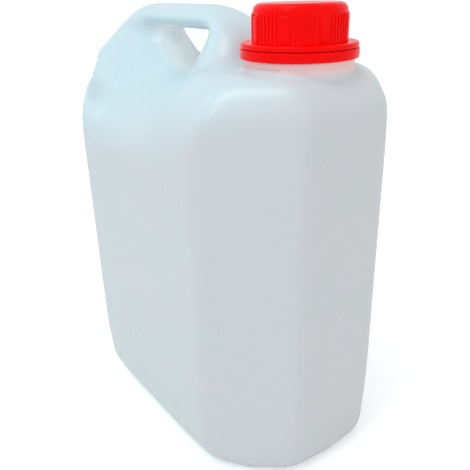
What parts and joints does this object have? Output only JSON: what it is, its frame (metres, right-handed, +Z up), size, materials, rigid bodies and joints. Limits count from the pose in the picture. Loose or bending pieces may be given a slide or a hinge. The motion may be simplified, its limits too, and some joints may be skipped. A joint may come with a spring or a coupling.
{
  "type": "plastic jerrycan",
  "caption": "Blow-moulded plastic jerrycan with chamfered corners, a hollow carrying handle, and a red screw cap over a liner and tamper ring.",
  "frame": {"origin": "centre of the footprint, on the ground the can stands on", "axes": "+X towards the neck end, +Y across the can, +Z up along the neck"},
  "size_m": [0.2102, 0.1342, 0.2647],
  "materials": {
    "can_plastic": "natural translucent polyethylene with a soft satin sheen",
    "cap_plastic": "opaque red polypropylene, satin",
    "ring_plastic": "opaque red polypropylene, satin",
    "liner_foam": "white foamed polyethylene, matt"
  },
  "bodies": {
    "can": {"can": "can_plastic", "tamper_ring": "ring_plastic"},
    "liner": {"liner": "liner_foam"},
    "cap": {"cap": "cap_plastic"}
  },
  "joints": [
    {"name": "cap_lift", "type": "slide", "parent": "can", "child": "liner", "axis": [0, 0, 1], "range_m": [0, 0.02]},
    {"name": "cap_turn", "type": "hinge", "parent": "liner", "child": "cap", "pos_m": [0.0691, 0, 0.2541], "axis": [0, 0, 1], "range_deg": [0, 1800]}
  ],
  "couplings": [
    {"joint": "cap_turn", "follows": "cap_lift", "rad_per_m": 1570.8}
  ]
}
